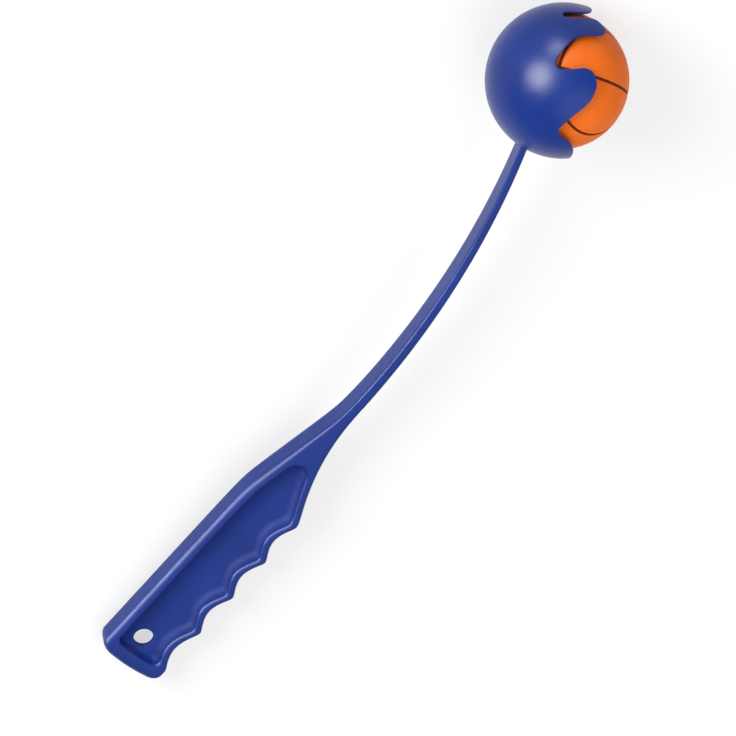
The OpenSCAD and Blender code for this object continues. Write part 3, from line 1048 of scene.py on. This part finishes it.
def blue_plastic():
    """Satin moulded plastic: cloudy deep blue, fine grain, faint flow and a few light scuffs."""
    made, tree, shader, where = material("stick_plastic")
    cloud = noise(tree, where, 38.0, 4.0, 0.55)
    stops = (
        (0.3, (0.0027, 0.0230, 0.195)),
        (0.52, (0.0035, 0.0272, 0.219)),
        (0.75, (0.0046, 0.0316, 0.243)),
    )
    tree.links.new(ramp(tree, cloud, stops), shader.inputs["Base Color"])
    scuffs = noise(tree, stretched(tree, where, (160.0, 900.0, 420.0), (0.2, 0.1, 0.5)), 1.0, 2.0, 0.6)
    shine = spread(tree, scuffs, 0.30, 0.38, 0.35, 0.75)
    dull = tree.nodes.new("ShaderNodeAttribute")
    dull.attribute_name = "dull"
    duller = tree.nodes.new("ShaderNodeMath")
    duller.operation = "MULTIPLY_ADD"
    duller.inputs[1].default_value = 0.42
    tree.links.new(dull.outputs["Fac"], duller.inputs[0])
    tree.links.new(shine, duller.inputs[2])
    tree.links.new(duller.outputs["Value"], shader.inputs["Roughness"])
    grain = noise(tree, where, 2600.0, 2.0, 0.5)
    flow = noise(tree, where, 120.0, 2.0, 0.4)
    bumped(tree, shader, ((flow, 0.2, 0.0003), (grain, 0.08, 0.0001)))
    shader.inputs["IOR"].default_value = 1.34
    return made


def orange_rubber():
    """Soft matte rubber: warm orange with faint mottling and fine pores."""
    made, tree, shader, where = material("ball_rubber")
    cloud = noise(tree, where, 60.0, 5.0, 0.6)
    stops = (
        (0.28, (0.92, 0.150, 0.0032)),
        (0.5, (0.97, 0.170, 0.0043)),
        (0.76, (1.0, 0.196, 0.0060)),
    )
    tree.links.new(ramp(tree, cloud, stops), shader.inputs["Base Color"])
    dull = noise(tree, where, 340.0, 3.0, 0.6)
    tree.links.new(spread(tree, dull, 0.50, 0.64), shader.inputs["Roughness"])
    pores = noise(tree, where, 3000.0, 2.0, 0.5)
    bumped(tree, shader, ((dull, 0.12, 0.0003), (pores, 0.12, 0.0001)))
    shader.inputs["IOR"].default_value = 1.33
    return made


def seam_rubber():
    """Dark brown rubber in the seams."""
    made, tree, shader, where = material("seam_rubber")
    cloud = noise(tree, where, 500.0, 3.0, 0.5)
    stops = ((0.3, (0.105, 0.0190, 0.0050)), (0.7, (0.145, 0.0270, 0.0075)))
    tree.links.new(ramp(tree, cloud, stops), shader.inputs["Base Color"])
    tree.links.new(spread(tree, cloud, 0.62, 0.74), shader.inputs["Roughness"])
    bumped(tree, shader, ((noise(tree, where, 2600.0, 2.0, 0.5), 0.12, 0.0001),))
    shader.inputs["IOR"].default_value = 1.25
    return made


def pale_floor():
    """Plain pale floor that keeps the shadow and shows white to the camera and in reflections."""
    made, tree, shader, where = material("floor")
    cloud = noise(tree, where, 3.0, 2.0, 0.5)
    stops = ((0.3, (0.36, 0.36, 0.36)), (0.7, (0.37, 0.37, 0.37)))
    tree.links.new(ramp(tree, cloud, stops), shader.inputs["Base Color"])
    shader.inputs["Roughness"].default_value = 0.9
    shader.inputs["Specular IOR Level"].default_value = 0.1
    path = tree.nodes.new("ShaderNodeLightPath")
    seen = path.outputs["Is Camera Ray"]
    for other in ("Is Glossy Ray", "Is Transmission Ray"):
        both = tree.nodes.new("ShaderNodeMath")
        both.operation = "MAXIMUM"
        tree.links.new(seen, both.inputs[0])
        tree.links.new(path.outputs[other], both.inputs[1])
        seen = both.outputs["Value"]
    shader.inputs["Emission Color"].default_value = (1.0, 1.0, 1.0, 1.0)
    tree.links.new(spread(tree, seen, 0.0, 0.62, 0.0, 1.0), shader.inputs["Emission Strength"])
    return made


# The pieces; the bowl, the ball and its seams on their bodies
plastic = blue_plastic()
stick = shown(stick_mesh(), plastic)
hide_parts("handle", "lower_shaft", "upper_shaft")
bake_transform(stick)

for name, data in cup_meshes().items():
    piece = shown(data, plastic)
    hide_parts(name)
    if name == "cup_bowl":
        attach(piece, "head")
        continue
    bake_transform(piece)

ball = shown(ball_mesh(), orange_rubber())
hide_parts("ball")
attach(ball, "ball")
seams = shown(seam_mesh(), seam_rubber())
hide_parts("ball_seam")
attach(seams, "ball")


# The camera, where the photograph was taken from
def looking(name, data, right, up, back, place):
    """A camera or lamp at a place, turned by its own axes."""
    obj = bpy.data.objects.new(name, data)
    bpy.context.scene.collection.objects.link(obj)
    turned = Matrix((right, up, back)).transposed().to_4x4()
    obj.matrix_world = Matrix.Translation(place) @ turned
    return obj


FOCAL_PX = 13585.6
PICTURE_PX = 736
SENSOR_MM = 36.0
CAMERA_AT = Vector((2.3313, 2.5538, 4.9058))
lens = bpy.data.cameras.new("camera")
lens.lens = FOCAL_PX / PICTURE_PX * SENSOR_MM
lens.sensor_width = SENSOR_MM
lens.clip_end = 60.0
back = Vector((0.3646, 0.4289, 0.8265)).normalized()
right = Vector((0.6303, -0.767, 0.12))
right = (right - right.dot(back) * back).normalized()
camera = looking("camera", lens, right, back.cross(right), back, CAMERA_AT)
bpy.context.scene.camera = camera


# The floor, on which the cup and the butt lie
def floor_plane():
    """A wide plane that passes just under the cup and the lower edge of the butt."""
    butt_foot = 1.5
    half_size = 4.0
    gap = 0.3
    low_butt = np.array([-BUTT_X + butt_foot, 0.0, -GRIP_T / 2])
    reach = CUP_MIDDLE[0] - low_butt[0]
    drop = -low_butt[2]
    tilt = math.asin(CUP_OUT_R / math.hypot(reach, drop)) - math.atan2(drop, reach)
    along = Vector((math.cos(tilt), 0.0, -math.sin(tilt)))
    up = Vector((math.sin(tilt), 0.0, math.cos(tilt)))
    work = bmesh.new()
    bmesh.ops.create_grid(work, x_segments=8, y_segments=8, size=half_size)
    data = bpy.data.meshes.new("floor")
    work.to_mesh(data)
    work.free()
    obj = shown(data, pale_floor())
    turned = Matrix((along, Vector((0.0, 1.0, 0.0)), up)).transposed().to_4x4()
    foot = CUP_MIDDLE * MM - np.array(up) * (CUP_OUT_R * MM + gap * MM)
    obj.matrix_world = Matrix.Translation(Vector(foot)) @ turned
    return obj


floor_plane()


# Plain soft light
def softbox(name, place, aim, size, power, cone):
    """A round softbox that faces a point; a narrow cone acts as a grid in front of it."""
    data = bpy.data.lights.new(name, "AREA")
    data.shape = "DISK"
    data.size = size
    data.energy = power
    data.spread = math.radians(cone)
    place = Vector(place)
    back = (place - Vector(aim)).normalized()
    right = back.cross(Vector((0.0, 0.0, 1.0))).normalized()
    return looking(name, data, right, back.cross(right), back, place)


# Name, place, aim, size, power, cone, and whether it lights surfaces or only their gloss
CUP_AT = tuple(CUP_MIDDLE * MM)
KEY_AT = (0.33, 1.37, 0.89)
WIDE = 180.0
LAMPS = (
    ("key", KEY_AT, CUP_AT, 0.92, 21.0, WIDE, True),
    ("top", (1.36, 1.21, 0.22), CUP_AT, 0.64, 14.0, WIDE, False),
    ("front", (0.35, -0.6, 1.9), (0.19, 0.01, 0.0), 2.2, 16.0, WIDE, True),
    ("gloss", KEY_AT, CUP_AT, 0.98, 45.0, WIDE, False),
    ("edge", (-0.20, 0.41, 0.09), (0.0, 0.0, 0.0), 0.28, 0.38, 34.0, False),
    ("line", (0.01, 0.28, 0.155), (0.17, 0.01, 0.0), 0.18, 0.038, 22.0, False),
)
for name, place, aim, size, power, cone, surfaces in LAMPS:
    lamp = softbox(name, place, aim, size, power, cone)
    lamp.visible_diffuse = surfaces

world = bpy.data.worlds.new("world")
bpy.context.scene.world = world
world.use_nodes = True
sky = world.node_tree.nodes["Background"]
sky.inputs["Color"].default_value = (1.0, 1.0, 1.0, 1.0)
sky.inputs["Strength"].default_value = 0.45

bpy.context.scene.view_settings.view_transform = "Standard"
